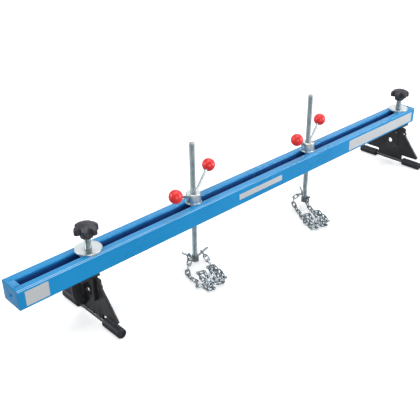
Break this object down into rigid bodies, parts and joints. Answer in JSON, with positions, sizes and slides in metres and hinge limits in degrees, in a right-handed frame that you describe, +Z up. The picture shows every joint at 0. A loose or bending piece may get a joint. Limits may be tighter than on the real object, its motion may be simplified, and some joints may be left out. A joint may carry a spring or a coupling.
{
  "type": "engine support bar",
  "caption": "Slotted blue support bar on two sliding black feet with rubber sleeves, star knobs, and threaded lift hooks with ball handles and chains for holding up an engine.",
  "frame": {"origin": "on the floor under the feet, below the middle of the beam", "axes": "+X along the beam to the right end, -Y to the front, +Z up"},
  "size_m": [1.5, 0.2577, 0.353],
  "materials": {
    "blue_paint": "gloss blue powder coat",
    "black_paint": "satin black powder coat",
    "zinc_plate": "bright zinc plating",
    "chain_zinc": "bright zinc plated chain",
    "foot_rubber": "matt black rubber",
    "knob_plastic": "fine grained black plastic",
    "red_plastic": "gloss red plastic"
  },
  "bodies": {
    "beam": {"front_rail": "blue_paint", "rear_rail": "blue_paint", "left_end_plate": "blue_paint", "right_end_plate": "blue_paint"},
    "left_foot": {"left_saddle": "black_paint", "left_guide_block": "zinc_plate", "left_support_plate": "black_paint", "left_gusset": "black_paint", "left_foot_rod": "black_paint", "left_front_sleeve": "foot_rubber", "left_rear_sleeve": "foot_rubber", "left_clamp_washer": "zinc_plate"},
    "left_screw": {"left_clamp_stud": "zinc_plate"},
    "left_knob": {"left_star_knob": "knob_plastic"},
    "left_carriage": {"left_thrust_washer": "zinc_plate"},
    "left_nut": {"left_lift_nut": "zinc_plate", "left_nut_handles": "zinc_plate", "left_handle_balls": "red_plastic"},
    "left_hook": {"left_lift_rod": "zinc_plate", "left_double_hook": "zinc_plate", "left_chain": "chain_zinc"},
    "right_foot": {"right_saddle": "black_paint", "right_guide_block": "zinc_plate", "right_support_plate": "black_paint", "right_gusset": "black_paint", "right_foot_rod": "black_paint", "right_front_sleeve": "foot_rubber", "right_rear_sleeve": "foot_rubber", "right_clamp_washer": "zinc_plate"},
    "right_screw": {"right_clamp_stud": "zinc_plate"},
    "right_knob": {"right_star_knob": "knob_plastic"},
    "right_carriage": {"right_thrust_washer": "zinc_plate"},
    "right_nut": {"right_lift_nut": "zinc_plate", "right_nut_handles": "zinc_plate", "right_handle_balls": "red_plastic"},
    "right_hook": {"right_lift_rod": "zinc_plate", "right_double_hook": "zinc_plate", "right_chain": "chain_zinc"}
  },
  "joints": [
    {"name": "left_foot_slide", "type": "slide", "parent": "beam", "child": "left_foot", "axis": [1, 0, 0], "range_m": [-0.16, 0.05]},
    {"name": "left_clamp_screw", "type": "slide", "parent": "left_foot", "child": "left_screw", "axis": [0, 0, 1], "range_m": [-0.0287, 0.01]},
    {"name": "left_knob_turn", "type": "hinge", "parent": "left_screw", "child": "left_knob", "pos_m": [-0.552, 0, 0.217], "axis": [0, 0, 1], "range_deg": [-5160, 1790]},
    {"name": "left_carriage_slide", "type": "slide", "parent": "beam", "child": "left_carriage", "axis": [1, 0, 0], "range_m": [-0.115, 0.11]},
    {"name": "left_nut_turn", "type": "hinge", "parent": "left_carriage", "child": "left_nut", "pos_m": [-0.2315, 0, 0.1855], "axis": [0, 0, 1], "range_deg": [-15290, 23390]},
    {"name": "left_rod_lift", "type": "slide", "parent": "left_carriage", "child": "left_hook", "axis": [0, 0, 1], "range_m": [-0.13, 0.085]},
    {"name": "right_foot_slide", "type": "slide", "parent": "beam", "child": "right_foot", "axis": [1, 0, 0], "range_m": [-0.18, 0.01]},
    {"name": "right_clamp_screw", "type": "slide", "parent": "right_foot", "child": "right_screw", "axis": [0, 0, 1], "range_m": [-0.0287, 0.01]},
    {"name": "right_knob_turn", "type": "hinge", "parent": "right_screw", "child": "right_knob", "pos_m": [0.7, 0, 0.217], "axis": [0, 0, 1], "range_deg": [-5160, 1790]},
    {"name": "right_carriage_slide", "type": "slide", "parent": "beam", "child": "right_carriage", "axis": [1, 0, 0], "range_m": [-0.11, 0.115]},
    {"name": "right_nut_turn", "type": "hinge", "parent": "right_carriage", "child": "right_nut", "pos_m": [0.222, 0, 0.1855], "axis": [0, 0, 1], "range_deg": [-15290, 23390]},
    {"name": "right_rod_lift", "type": "slide", "parent": "right_carriage", "child": "right_hook", "axis": [0, 0, 1], "range_m": [-0.13, 0.085]}
  ],
  "couplings": [
    {"joint": "left_clamp_screw", "follows": "left_knob_turn", "m_per_rad": 0.00031831},
    {"joint": "left_rod_lift", "follows": "left_nut_turn", "m_per_rad": -0.00031831},
    {"joint": "right_clamp_screw", "follows": "right_knob_turn", "m_per_rad": 0.00031831},
    {"joint": "right_rod_lift", "follows": "right_nut_turn", "m_per_rad": -0.00031831}
  ]
}
